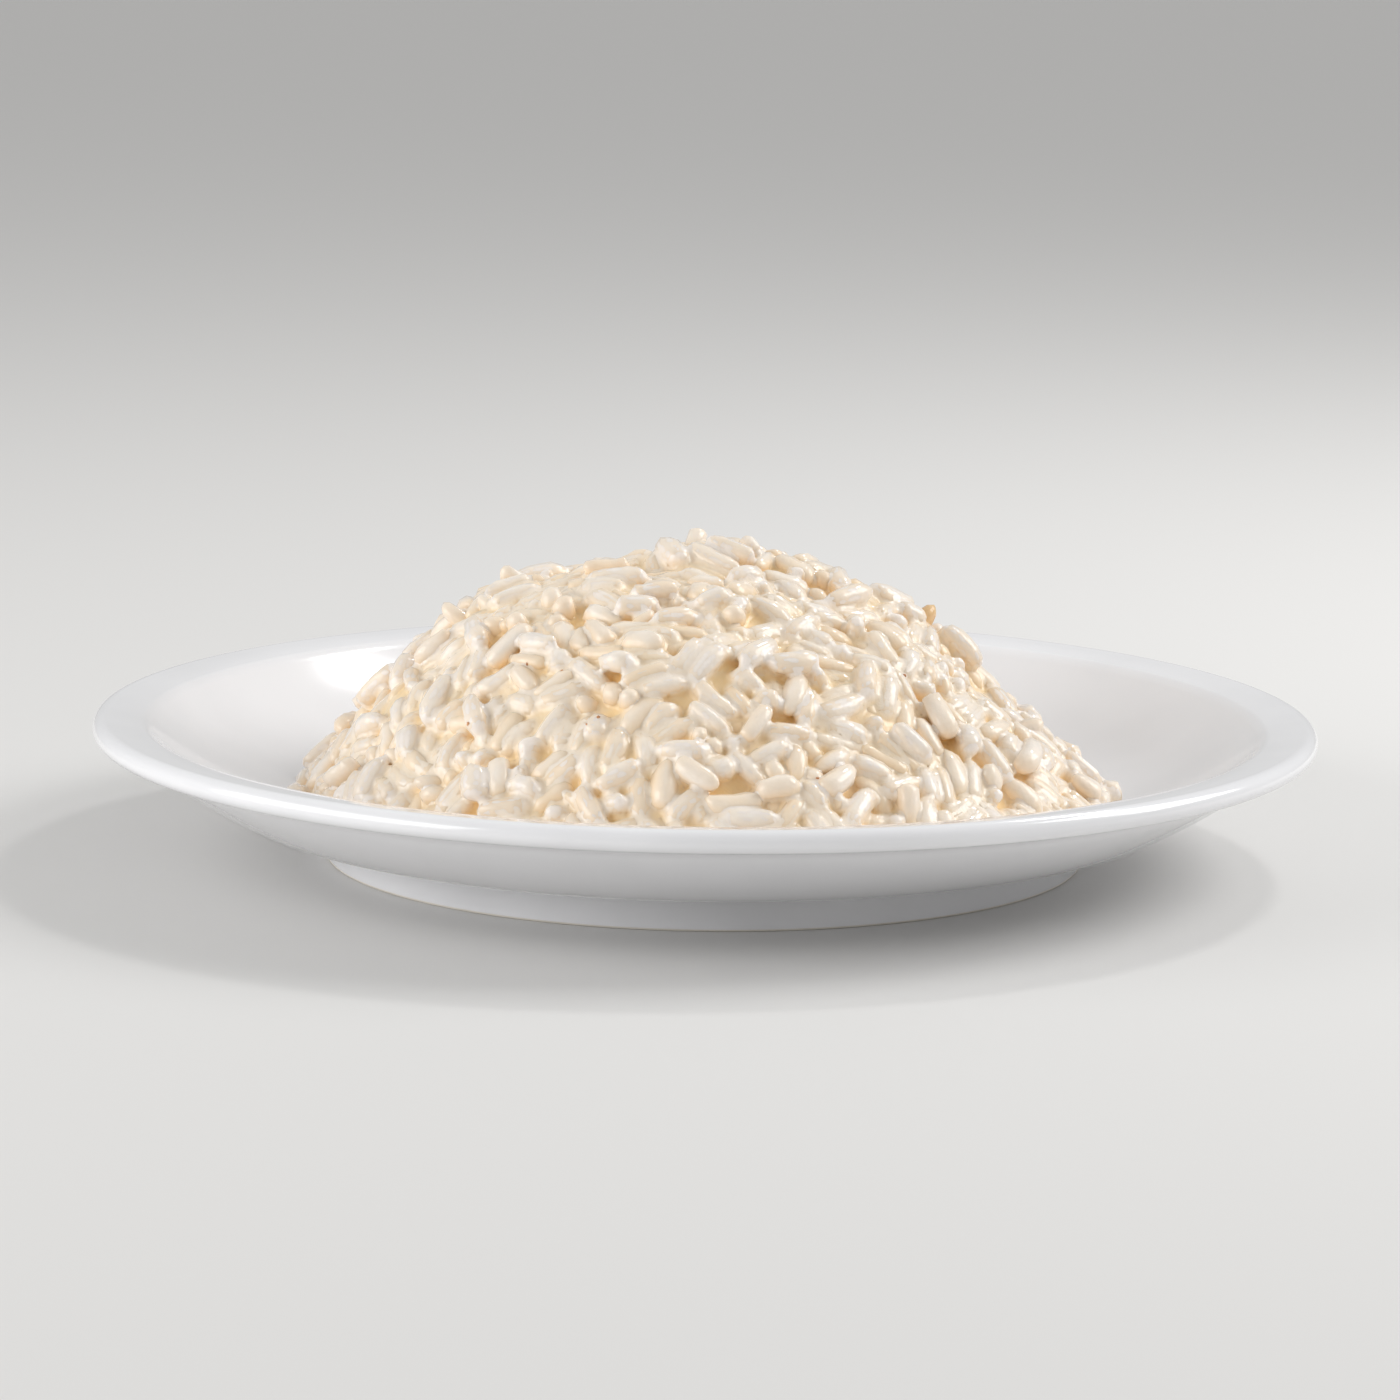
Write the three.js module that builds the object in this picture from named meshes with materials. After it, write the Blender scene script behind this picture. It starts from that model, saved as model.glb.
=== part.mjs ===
// A heap of parmesan risotto served on a round white porcelain plate with a narrow sloping rim.
// Millimetres, +Z up. The origin is the middle of the plate's foot, on the table.
import * as THREE from "three";

// Plate: driving dimensions.
const RIM_RADIUS = 120;
const RIM_TOP = 27.9;
const LIP_THICKNESS = 4.4;
const LIP_ROUND = 2.2;
const SHOULDER_RADIUS = 109.8;
const SHOULDER_TOP = 26.8;
const WELL_FLAT_RADIUS = 74;
const FLOOR_TOP = 9.6;
const FOOT_RADIUS = 74.4;
const FOOT_WIDTH = 4;
const FOOT_HEIGHT = 6.2;
const FOOT_ROUND = 0.7;
const RECESS_DEPTH = 3.9;
const BELLY_RADIUS = 89.7;
const BELLY_HEIGHT = 8.9;
const PLATE_SEGMENTS = 72;
const CURVE_STEPS = 4;
const WELL_STEPS = 7;

// Heap: driving dimensions.
const HEAP_RADIUS = 84.5;
const HEAP_HEIGHT = 47.8;
const HEAP_EDGE = 0.962;
const HEAP_FLARE = 1.5;
const HEAP_ROUNDNESS = 2.8;
const HEAP_LEAN = 0.35;
const HEAP_RINGS = 21;
const GRAIN_RELIEF = 1.3;
const GRAIN_PITCH = 10;
const SEAT_GAP = 0.3;

// Swells and hollows a spoon leaves in the heap: where each lies, how wide it is and how far it rises.
const SWELLS = [
  { x: -46, y: 4, width: 8, rise: 1.8 },
  { x: -27, y: 8, width: 6, rise: -1.8 },
  { x: -63, y: 0, width: 5, rise: -1.8 },
  { x: 4, y: 2, width: 9, rise: 1 },
  { x: 17, y: -24, width: 11, rise: -1.6 },
  { x: 43, y: 4, width: 5, rise: 2.6 },
  { x: 51, y: 0, width: 5, rise: -2 },
  { x: 30, y: 44, width: 12, rise: 2 },
  { x: -12, y: -48, width: 11, rise: 1.8 },
  { x: -8, y: 52, width: 10, rise: -1.6 },
];

const porcelain = new THREE.MeshStandardMaterial({ color: 0xf4f4f6, roughness: 0.12, metalness: 0 });
const creamyRice = new THREE.MeshStandardMaterial({ color: 0xf0e2cb, roughness: 0.32, metalness: 0 });

/** Height of the plate's upper face above the table, from the flat floor up to the shoulder of the well. */
function wellHeight(radius) {
  const share = Math.max(0, radius - WELL_FLAT_RADIUS) / (SHOULDER_RADIUS - WELL_FLAT_RADIUS);
  return FLOOR_TOP + (SHOULDER_TOP - FLOOR_TOP) * share ** 2;
}

/** The underside, from the axis over the foot ring and the belly to the bottom of the lip. */
function undersidePath() {
  const footInner = FOOT_RADIUS - FOOT_WIDTH;
  const lipBottom = RIM_TOP - LIP_THICKNESS;
  const path = new THREE.Path();
  path.moveTo(0, RECESS_DEPTH);
  path.lineTo(footInner - FOOT_ROUND, RECESS_DEPTH);
  path.lineTo(footInner, FOOT_ROUND);
  path.lineTo(footInner + FOOT_ROUND, 0);
  path.lineTo(FOOT_RADIUS - FOOT_ROUND, 0);
  path.lineTo(FOOT_RADIUS, FOOT_ROUND);
  path.lineTo(FOOT_RADIUS + FOOT_ROUND, FOOT_HEIGHT);
  path.quadraticCurveTo(FOOT_RADIUS + 2, 7.9, FOOT_RADIUS + 6, 7.9);
  path.quadraticCurveTo(BELLY_RADIUS - 6, 7.8, BELLY_RADIUS, BELLY_HEIGHT);
  path.bezierCurveTo(BELLY_RADIUS + 5, 10.2, SHOULDER_RADIUS - 3, 18, SHOULDER_RADIUS, 20.6);
  path.quadraticCurveTo(SHOULDER_RADIUS + 3.2, lipBottom - 0.2, RIM_RADIUS - LIP_ROUND, lipBottom);
  return path;
}

/** The rounded lip and the narrow rim, from the bottom of the lip inwards to the shoulder of the well. */
function lipPath() {
  const middle = RIM_TOP - LIP_THICKNESS / 2;
  const path = new THREE.Path();
  path.absarc(RIM_RADIUS - LIP_ROUND, middle, LIP_ROUND, -Math.PI / 2, Math.PI * 0.55, false);
  path.lineTo(SHOULDER_RADIUS + 2.4, SHOULDER_TOP + 0.35);
  return path;
}

/** The plate's whole profile in the (radius, height) plane, both ends on the axis. */
function plateProfile() {
  const points = [...undersidePath().getPoints(CURVE_STEPS), ...lipPath().getPoints(CURVE_STEPS)];
  for (let step = 0; step <= WELL_STEPS; step++) {
    const share = 0.97 * (1 - step / WELL_STEPS);
    const radius = WELL_FLAT_RADIUS + share * (SHOULDER_RADIUS - WELL_FLAT_RADIUS);
    points.push(new THREE.Vector2(radius, wellHeight(radius)));
  }
  points.push(new THREE.Vector2(0, FLOOR_TOP));
  return points.filter((p, i) => i === 0 || p.distanceTo(points[i - 1]) > 1e-3);
}

/** The plate, turned about its upright axis. */
function makePlate() {
  const geometry = new THREE.LatheGeometry(plateProfile(), PLATE_SEGMENTS);
  geometry.rotateX(Math.PI / 2);
  const plate = new THREE.Mesh(geometry, porcelain);
  plate.name = "plate";
  return plate;
}

/** Bumps of about a grain's size, in millimetres above or below the smooth heap. */
function relief(x, y) {
  const waves = 5;
  let height = 0;
  for (let wave = 0; wave < waves; wave++) {
    const turn = wave * 2.4;
    const along = x * Math.cos(turn) + y * Math.sin(turn);
    const across = y * Math.cos(turn) - x * Math.sin(turn);
    const pitch = GRAIN_PITCH * (1 + 0.13 * wave);
    height += Math.sin((2 * Math.PI * along) / pitch + 1.7 * wave + Math.sin(across / GRAIN_PITCH));
  }
  return (GRAIN_RELIEF * 0.6 * height) / Math.sqrt(waves);
}

/** The heap's swells and hollows together, in millimetres above or below the smooth heap. */
function swell(x, y) {
  const one = ({ x: midX, y: midY, width, rise }) =>
    rise * Math.exp(-((x - midX) ** 2 + (y - midY) ** 2) / (2 * width ** 2));
  return SWELLS.reduce((sum, lump) => sum + one(lump), 0);
}

/** Distance from the axis to the heap's foot in a direction: a circle with a slightly wavy outline. */
function footprint(angle) {
  const wave = Math.sin(3 * angle + 0.5) + 0.8 * Math.sin(7 * angle) + 0.5 * Math.sin(16 * angle + 1);
  return HEAP_RADIUS * HEAP_EDGE + 0.7 * wave;
}

/** Height of the heap's upper face at a point, above the table. */
function heapHeight(x, y) {
  const radius = Math.hypot(x, y);
  const angle = Math.atan2(y, x);
  const roundness = HEAP_ROUNDNESS - HEAP_LEAN * Math.cos(angle);
  const share = Math.min(radius / HEAP_RADIUS, 1);
  const dome = HEAP_HEIGHT * (1 - share ** roundness) ** HEAP_FLARE;
  const fade = Math.min(1, dome / 6);
  return wellHeight(radius) + SEAT_GAP + dome + fade * (relief(x, y) + swell(x, y));
}

/** Triangles between ring k - 1 and ring k of a disc whose ring k has 6k points, and whose centre is point 0. */
function discTriangles(rings) {
  const first = (ring) => (ring === 0 ? 0 : 1 + 3 * ring * (ring - 1));
  const at = (ring, step) => first(ring) + (ring === 0 ? 0 : step % (6 * ring));
  const triangles = [];
  for (let ring = 1; ring <= rings; ring++) {
    for (let side = 0; side < 6; side++) {
      for (let step = 0; step < ring; step++) {
        const outer = side * ring + step;
        const inner = side * (ring - 1) + step;
        triangles.push(at(ring, outer), at(ring, outer + 1), at(ring - 1, inner));
        if (step < ring - 1) {
          triangles.push(at(ring, outer + 1), at(ring - 1, inner + 1), at(ring - 1, inner));
        }
      }
    }
  }
  return triangles;
}

/** The heap: an upper face of even triangles, and an underside that follows the plate at the seat gap. */
function makeHeap() {
  const positions = [];
  for (let ring = 0; ring <= HEAP_RINGS; ring++) {
    const count = Math.max(1, 6 * ring);
    for (let step = 0; step < count; step++) {
      const angle = (2 * Math.PI * step) / count;
      const radius = (footprint(angle) * ring) / HEAP_RINGS;
      const x = radius * Math.cos(angle);
      const y = radius * Math.sin(angle);
      positions.push(x, y, heapHeight(x, y));
    }
  }
  const triangles = discTriangles(HEAP_RINGS);
  const edge = 6 * HEAP_RINGS;
  let upper = positions.length / 3 - edge;
  for (const inset of [0, 0.03, 0.07, 0.12]) {
    const lower = positions.length / 3;
    for (let step = 0; step < edge; step++) {
      const angle = (2 * Math.PI * step) / edge;
      const radius = (1 - inset) * footprint(angle) - 0.8;
      positions.push(radius * Math.cos(angle), radius * Math.sin(angle), wellHeight(radius) + SEAT_GAP);
    }
    for (let step = 0; step < edge; step++) {
      const next = (step + 1) % edge;
      triangles.push(upper + step, lower + step, lower + next);
      triangles.push(upper + step, lower + next, upper + next);
    }
    upper = lower;
  }
  const middle = positions.length / 3;
  positions.push(0, 0, FLOOR_TOP + SEAT_GAP);
  for (let step = 0; step < edge; step++) {
    triangles.push(upper + step, middle, upper + ((step + 1) % edge));
  }
  const geometry = new THREE.BufferGeometry();
  geometry.setAttribute("position", new THREE.Float32BufferAttribute(positions, 3));
  geometry.setIndex(triangles);
  geometry.computeVertexNormals();
  const heap = new THREE.Mesh(geometry, creamyRice);
  heap.name = "risotto";
  return heap;
}

const dish = new THREE.Group();
dish.add(makePlate(), makeHeap());

export default dish;
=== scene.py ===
"""A heap of parmesan risotto on its round white porcelain plate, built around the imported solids.

Everything is in metres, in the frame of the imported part: +Z up, the plate's foot on z = 0 and its axis on the
origin. The heap's outer form is read from its solid. Grains of rice are packed inside that form, a skin of
cheese cream is drawn over a smaller core and round the grains, and the plate is turned from its profile.
"""

import logging
import math
from dataclasses import dataclass, field
from enum import Enum
from itertools import product
from typing import Any, Callable

import bmesh
import bpy
import numpy as np
from bpy.types import Material, Mesh, Node, NodeSocket, NodeTree, Object, Scene
from mathutils import Euler, Matrix, Vector
from mathutils.bvhtree import BVHTree
from mathutils.kdtree import KDTree


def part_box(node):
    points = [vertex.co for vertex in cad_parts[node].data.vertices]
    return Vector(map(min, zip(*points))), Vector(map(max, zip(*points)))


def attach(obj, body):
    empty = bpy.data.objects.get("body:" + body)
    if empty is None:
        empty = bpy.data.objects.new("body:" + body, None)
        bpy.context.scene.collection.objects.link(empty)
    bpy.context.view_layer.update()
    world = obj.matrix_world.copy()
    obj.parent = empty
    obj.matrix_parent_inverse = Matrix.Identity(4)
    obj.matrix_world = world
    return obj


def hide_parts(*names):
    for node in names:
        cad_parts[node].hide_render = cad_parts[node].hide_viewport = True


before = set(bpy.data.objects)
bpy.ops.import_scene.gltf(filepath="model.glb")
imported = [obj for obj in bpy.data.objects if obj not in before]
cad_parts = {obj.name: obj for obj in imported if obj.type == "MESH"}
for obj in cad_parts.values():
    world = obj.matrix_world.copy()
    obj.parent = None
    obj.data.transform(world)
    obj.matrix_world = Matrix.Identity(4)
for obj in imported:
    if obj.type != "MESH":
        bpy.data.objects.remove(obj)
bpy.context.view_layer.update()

MM = 0.001
TINY = 1e-6
BODY = "root"
LOG = logging.getLogger("risotto")


class Slot(Enum):
    """The record's material slots."""

    PORCELAIN = "porcelain"
    RISOTTO = "risotto"


# --- Shader and node helpers ---


class NodeBoard:
    """Adds nodes to one node tree, settings first and then the values or links of their sockets."""

    def __init__(self, tree: NodeTree) -> None:
        """Starts on an existing shader or geometry tree."""
        self.tree = tree

    def add(self, kind: str, settings: dict[str, Any] | None = None, **inputs: Any) -> Node:
        """Adds one node.

        Args:
            kind: the node's type name.
            settings: the node's own properties, such as a Math node's operation.
            inputs: values or sockets by input name, spaces written as underscores, or as i0, i1 by place.

        Returns:
            The new node.
        """
        node = self.tree.nodes.new(kind)
        for name, value in (settings or {}).items():
            setattr(node, name, value)
        for name, value in inputs.items():
            self.feed(self._find(node, name), value)
        return node

    @staticmethod
    def _find(node: Node, name: str) -> NodeSocket:
        """The enabled input of a node by name, or by place where the name is i0, i1 and so on."""
        if name[0] == "i" and name[1:].isdigit():
            return node.inputs[int(name[1:])]
        wanted = name.replace("_", " ")
        return next(s for s in node.inputs if s.name == wanted and s.enabled)

    def feed(self, socket: NodeSocket, value: Any) -> None:
        """Links a socket or a wrapped socket to an input, or sets the input's value."""
        if isinstance(value, Value):
            value = value.socket
        if isinstance(value, NodeSocket):
            self.tree.links.new(value, socket)
        else:
            socket.default_value = value


def operator(operation: str, turned: bool = False) -> Callable[["Value", Any], "Value"]:
    """A method for one of Python's operators on a Value.

    Args:
        operation: the Math node's operation.
        turned: whether the value comes second.

    Returns:
        The method.
    """
    def method(self: "Value", other: Any) -> "Value":
        """The operation on this value and another."""
        return self.math(operation, *((other, self) if turned else (self, other)))
    return method


class Value:
    """A number socket of a shader tree, on which Python's operators add Math nodes."""

    __add__ = operator("ADD")
    __radd__ = operator("ADD", turned=True)
    __sub__ = operator("SUBTRACT")
    __rsub__ = operator("SUBTRACT", turned=True)
    __mul__ = operator("MULTIPLY")
    __rmul__ = operator("MULTIPLY", turned=True)

    def __init__(self, board: NodeBoard, socket: NodeSocket) -> None:
        """Wraps an output that carries a number, on the board of its tree."""
        self.board = board
        self.socket = socket

    def math(self, operation: str, *operands: Any, clamp: bool = False) -> "Value":
        """Adds one Math node and returns its result."""
        node = self.board.add("ShaderNodeMath", {"operation": operation, "use_clamp": clamp})
        for socket, operand in zip(node.inputs, operands):
            self.board.feed(socket, operand)
        return Value(self.board, node.outputs[0])

    def clamped(self) -> "Value":
        """self held between 0 and 1."""
        return self.math("ADD", self, 0.0, clamp=True)

    def between(self, low: float, high: float) -> "Value":
        """0 at low and 1 at high, eased in between.

        Args:
            low: where the result is 0.
            high: where the result is 1.

        Returns:
            The eased share.
        """
        node = self.board.add("ShaderNodeMapRange", {"interpolation_type": "SMOOTHSTEP"}, Value=self,
                              From_Min=low, From_Max=high)
        return Value(self.board, node.outputs[0])


class Finish:
    """Common ground of the finishes: a material with a node board and a Principled shader."""

    def __init__(self, name: str) -> None:
        """Makes the empty material.

        Args:
            name: the material's name.
        """
        self.material = bpy.data.materials.new(name)
        self.material.use_nodes = True
        tree = self.material.node_tree
        tree.nodes.clear()
        self.board = NodeBoard(tree)
        self.shader = self.board.add("ShaderNodeBsdfPrincipled")
        output = self.board.add("ShaderNodeOutputMaterial")
        tree.links.new(self.shader.outputs[0], output.inputs["Surface"])
        self.place = self.board.add("ShaderNodeTexCoord").outputs["Object"]

    def constants(self, **values: Any) -> None:
        """Sets the shader's own sockets to fixed values, spaces in their names written as underscores."""
        for name, value in values.items():
            self.shader.inputs[name.replace("_", " ")].default_value = value

    def drive(self, name: str, value: Any) -> None:
        """Feeds one of the shader's inputs."""
        self.board.feed(self.shader.inputs[name], value)

    def noise(self, scale: float, detail: float = 2.0, roughness: float = 0.5, shift: Any = None) -> Value:
        """Noise over the object's own coordinates.

        Args:
            scale: how many swells fit into a metre.
            detail: how many finer octaves are added.
            roughness: how strong the finer octaves are.
            shift: a number that moves the pattern, such as one for each grain.

        Returns:
            The noise, around 0.5.
        """
        place = self.place
        if shift is not None:
            moved = self.board.add("ShaderNodeVectorMath", {"operation": "ADD"}, i0=place, i1=shift)
            place = moved.outputs[0]
        node = self.board.add("ShaderNodeTexNoise", {"noise_dimensions": "3D"}, Vector=place, Scale=scale,
                              Detail=detail, Roughness=roughness)
        return Value(self.board, node.outputs[0])

    def attribute(self, name: str) -> Value:
        """A number stored on the mesh under a name."""
        node = self.board.add("ShaderNodeAttribute", {"attribute_name": name})
        return Value(self.board, node.outputs["Fac"])

    def mix(self, share: Any, first: Any, second: Any) -> NodeSocket:
        """A blend of two colours.

        Args:
            share: 0 for the first colour and 1 for the second.
            first: a colour or a socket.
            second: a colour or a socket.

        Returns:
            The blended colour's socket.
        """
        node = self.board.add("ShaderNodeMix", {"data_type": "RGBA"})
        sockets = [s for s in node.inputs if s.enabled]
        for socket, value in zip(sockets, (share, first, second)):
            self.board.feed(socket, value)
        return next(s for s in node.outputs if s.enabled)

    def bump(self, height: Any, distance: float, strength: float = 1.0, under: Any = None) -> Any:
        """Small relief in the shading.

        Args:
            height: the relief's height, from 0 to 1.
            distance: how far a height of 1 stands out, in metres.
            strength: how much of it shows.
            under: the normal of coarser relief that it lies on.

        Returns:
            The normal's socket.
        """
        node = self.board.add("ShaderNodeBump", Strength=strength, Distance=distance, Height=height)
        if under is not None:
            self.board.feed(node.inputs["Normal"], under)
        return node.outputs[0]

    def wet(self, gloss: float, lumps: tuple, grit: tuple, film: float, glow: tuple,
            shift: Any = None) -> None:
        """The bumpy, wet and slightly see-through surface that rice and cream share.

        Args:
            gloss: how many swells of roughness fit into a metre.
            lumps: how many coarse lumps fit into a metre, and their height.
            grit: the same for the fine ones.
            film: how many swells of the wet film fit into a metre.
            glow: how much light goes in under the surface, and how far.
            shift: a number that moves the lumps, such as one for each grain.
        """
        self.drive("Roughness", (0.3 + 0.3 * self.noise(gloss, detail=2)).clamped())
        coarse = self.bump(self.noise(lumps[0], detail=2, shift=shift), lumps[1], 0.4)
        self.drive("Normal", self.bump(self.noise(grit[0], detail=2), grit[1], 0.4, under=coarse))
        self.drive("Coat Weight", (0.45 + 0.5 * self.noise(film)).clamped())
        self.constants(IOR=1.35, Coat_Roughness=0.07, Coat_IOR=1.5, Subsurface_Weight=glow[0],
                       Subsurface_Radius=(1.0, 0.95, 0.88), Subsurface_Scale=glow[1])


def srgb(red: int, green: int, blue: int) -> tuple[float, float, float, float]:
    """A linear colour with alpha from the eight-bit values that a screen shows."""
    def linear(level: int) -> float:
        """One channel, from screen level to linear light."""
        share = level / 255
        return share / 12.92 if share <= 0.04045 else ((share + 0.055) / 1.055) ** 2.4
    return linear(red), linear(green), linear(blue), 1.0


# --- Finishes ---


@dataclass(frozen=True)
class Look:
    """What the looks share: each paints one material of its own name."""

    name: str

    def paint(self, finish: Finish) -> None:
        """Feeds the material's shader; each look has its own."""
        raise NotImplementedError

    def build(self) -> Material:
        """Makes the material and paints it."""
        finish = Finish(self.name)
        self.paint(finish)
        return finish.material


@dataclass(frozen=True)
class GlazedPorcelain(Look):
    """Cool white porcelain under a clear glaze, bare where the foot ring stands."""

    name: str = "glazed_porcelain"
    body: tuple = srgb(245, 245, 247)
    pooled: tuple = srgb(239, 239, 241)
    bare: tuple = srgb(226, 220, 210)
    bare_below: float = 0.55 * MM

    def paint(self, finish: Finish) -> None:
        """Lays the glaze, pooled in places, and leaves the foot bare."""
        pooling = finish.noise(26, detail=2).between(0.35, 0.7)
        parts = finish.board.add("ShaderNodeSeparateXYZ", Vector=finish.place)
        height = Value(finish.board, parts.outputs[2])
        bare = 1 - height.between(self.bare_below * 0.6, self.bare_below)
        glaze = finish.mix(pooling, self.body, self.pooled)
        finish.drive("Base Color", finish.mix(bare, glaze, self.bare))
        finish.drive("Roughness", 0.11 + 0.05 * finish.noise(140) + 0.5 * bare)
        waves = finish.bump(finish.noise(38, detail=1), 0.35 * MM, 0.35)
        finish.drive("Normal", finish.bump(finish.noise(900, detail=1), 0.01 * MM, 0.4, under=waves))
        finish.drive("Coat Weight", 0.6 * (1 - bare))
        finish.constants(IOR=1.52, Coat_Roughness=0.04, Coat_IOR=1.5, Subsurface_Weight=0.0)


@dataclass(frozen=True)
class CookedRice(Look):
    """Cooked risotto rice: ivory, whiter at the heart, with painted warm shade deep in hollows, under a wet
    film.
    """

    name: str = "cooked_rice"
    heart: tuple = srgb(252, 245, 238)
    flesh: tuple = srgb(250, 234, 215)
    warm: tuple = srgb(247, 224, 196)
    # Painted warm shade: the colour of grain that lies deep in a hollow.
    buried_shade: tuple = srgb(250, 213, 154)
    toasted: tuple = srgb(226, 186, 128)

    def paint(self, finish: Finish) -> None:
        """Whitens the hearts, paints warm shade into the gaps and lays a wet film over the grain."""
        tint = finish.attribute("tint")
        heart = finish.attribute("heart")
        crevice = finish.attribute("crevice")
        mottle = finish.noise(260, detail=3, shift=tint * 7.0)
        base = finish.mix((tint * 0.8 + mottle * 0.5 - 0.3).clamped(), self.flesh, self.warm)
        base = finish.mix((heart * (0.35 + 0.6 * mottle)).clamped(), base, self.heart)
        # Painted shade: the grain turns to the warm shaded colour the deeper it lies in a hollow.
        base = finish.mix((crevice * 0.75).clamped(), base, self.buried_shade)
        finish.drive("Base Color", finish.mix((tint - 1.0).clamped(), base, self.toasted))
        finish.wet(gloss=520, lumps=(300, 0.5 * MM), grit=(1500, 0.16 * MM), film=180, glow=(0.3, 1.0 * MM),
                   shift=tint * 3.0)


@dataclass(frozen=True)
class CheeseCream(Look):
    """The cream of butter, starch and cheese that binds the grains: glossy, warm, painted light on crests,
    painted shade in gaps.
    """

    name: str = "cheese_cream"
    # Painted light: the cream's crests are lighter and whiter than its body.
    crest: tuple = srgb(251, 240, 230)
    smooth: tuple = srgb(250, 233, 211)
    # Painted warm shade: the colour of the cream deep in the gaps.
    deep: tuple = srgb(251, 218, 162)
    # Painted warm shade: a deeper golden in patches of the gaps.
    golden_shade: tuple = srgb(248, 212, 146)

    def paint(self, finish: Finish) -> None:
        """Paints light on crests and warm shade in the gaps, golden in a few patches, and lays a wet film over
        the cream.
        """
        crevice = finish.attribute("crevice")
        shade_patch = finish.noise(75, detail=3).between(0.55, 0.72)
        # Painted light on the crests, fading to the cream's body colour.
        base = finish.mix(crevice.between(0.0, 0.5), self.crest, self.smooth)
        # Painted shade: the cream turns warmer and darker deeper in the gaps.
        base = finish.mix(crevice.between(0.4, 1.0), base, self.deep)
        # Painted golden shade in patches, only where the hollow mask is past a quarter.
        finish.drive("Base Color", finish.mix((shade_patch * (0.8 * crevice - 0.2)).clamped(), base, self.golden_shade))
        finish.wet(gloss=400, lumps=(320, 0.4 * MM), grit=(1700, 0.2 * MM), film=150, glow=(0.28, 0.9 * MM))


@dataclass(frozen=True)
class ToastedSpeck(Look):
    """A crumb of toasted cheese, red-brown and slightly greasy."""

    name: str = "toasted_speck"
    light: tuple = srgb(208, 152, 104)
    dark: tuple = srgb(168, 108, 74)

    def paint(self, finish: Finish) -> None:
        """Mixes the two browns and roughens them."""
        finish.drive("Base Color", finish.mix(finish.noise(900).between(0.4, 0.6), self.light, self.dark))
        finish.drive("Roughness", 0.35 + 0.3 * finish.noise(1200))
        finish.drive("Normal", finish.bump(finish.noise(2500), 0.1 * MM, 0.5))
        finish.constants(IOR=1.45)


@dataclass(frozen=True)
class PaleFloor(Look):
    """The plain pale floor."""

    name: str = "pale_floor"
    colour: tuple = srgb(226, 225, 223)

    def paint(self, finish: Finish) -> None:
        """Sets one even colour."""
        finish.constants(Base_Color=self.colour, Roughness=0.7)


# --- The heap's form ---


def unit(rows: np.ndarray) -> np.ndarray:
    """Rows brought to a length of one."""
    return rows / np.linalg.norm(rows, axis=1, keepdims=True)


class Relief:
    """Heights of a solid's top over a square grid, smoothed, with bilinear look-up."""

    MARGIN_CELLS = 6
    START_ABOVE = 10 * MM
    BELL_REACH = 3
    EDGE_SLOPE = 5
    LAST_CELL = 1.001

    def __init__(self, node: str, pitch: float, blur: float, missing: float) -> None:
        """Samples a CAD node from above.

        Args:
            node: the CAD node's name.
            pitch: the grid's spacing.
            blur: how wide the smoothing reaches.
            missing: the height where there is nothing below.
        """
        low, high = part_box(node)
        self.reach = max(-low.x, high.x, -low.y, high.y) + self.MARGIN_CELLS * pitch
        self.count = int(2 * self.reach / pitch) + 1
        self.places = np.linspace(-self.reach, self.reach, self.count)
        self.step = self.places[1] - self.places[0]
        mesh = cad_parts[node].data
        tree = BVHTree.FromPolygons([v.co for v in mesh.vertices], [p.vertices for p in mesh.polygons])
        top = high.z + self.START_ABOVE
        heights = np.full((self.count, self.count), float(missing))
        for i, x in enumerate(self.places):
            for j, y in enumerate(self.places):
                hit = tree.ray_cast(Vector((x, y, top)), Vector((0, 0, -1)))[0]
                if hit is not None:
                    heights[i, j] = hit.z
        self.heights = self._smoothed(heights, blur / self.step)

    def _smoothed(self, heights: np.ndarray, spread: float) -> np.ndarray:
        """A grid of heights blurred by a bell curve of the given spread in cells."""
        if spread <= 0:
            return heights
        reach = int(self.BELL_REACH * spread)
        bell = np.exp(-0.5 * (np.arange(-reach, reach + 1) / spread) ** 2)
        bell /= bell.sum()
        for axis in (0, 1):
            padded = np.pad(heights, [(reach, reach) if a == axis else (0, 0) for a in (0, 1)], mode="edge")
            heights = np.apply_along_axis(lambda row: np.convolve(row, bell, mode="valid"), axis, padded)
        return heights

    def roughen(self, rise: float, width: float, within: float, seed: int) -> None:
        """Adds soft random lumps that fade out at a radius.

        Args:
            rise: how far a usual lump stands out.
            width: how wide the lumps are smoothed.
            within: the radius where the lumps end.
            seed: the seed of the random lumps.
        """
        rough = np.random.default_rng(seed).normal(size=self.heights.shape)
        rough = self._smoothed(rough, width / self.step)
        out = np.hypot(*np.meshgrid(self.places, self.places, indexing="ij"))
        share = np.clip(1 - out / within, 0, 1)
        self.heights = self.heights + rise * rough / rough.std() * np.minimum(1, self.EDGE_SLOPE * share)

    def height(self, x: np.ndarray, y: np.ndarray) -> np.ndarray:
        """The heights at some places.

        Args:
            x: places along X.
            y: places along Y.

        Returns:
            The height of the top at each place.
        """
        u, v = (np.clip((at + self.reach) / self.step, 0, self.count - self.LAST_CELL) for at in (x, y))
        i, j = u.astype(int), v.astype(int)
        a, b = u - i, v - j
        h = self.heights
        return ((1 - a) * (1 - b) * h[i, j] + a * (1 - b) * h[i + 1, j]
                + (1 - a) * b * h[i, j + 1] + a * b * h[i + 1, j + 1])

    def normal(self, x: np.ndarray, y: np.ndarray) -> np.ndarray:
        """The upward unit normals at some places, as rows."""
        dx = (self.height(x + self.step, y) - self.height(x - self.step, y)) / (2 * self.step)
        dy = (self.height(x, y + self.step) - self.height(x, y - self.step)) / (2 * self.step)
        rows = np.stack([-dx, -dy, np.ones_like(dx)], axis=1)
        return unit(rows)


LEAST_HALF = 0.2 * MM


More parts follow.
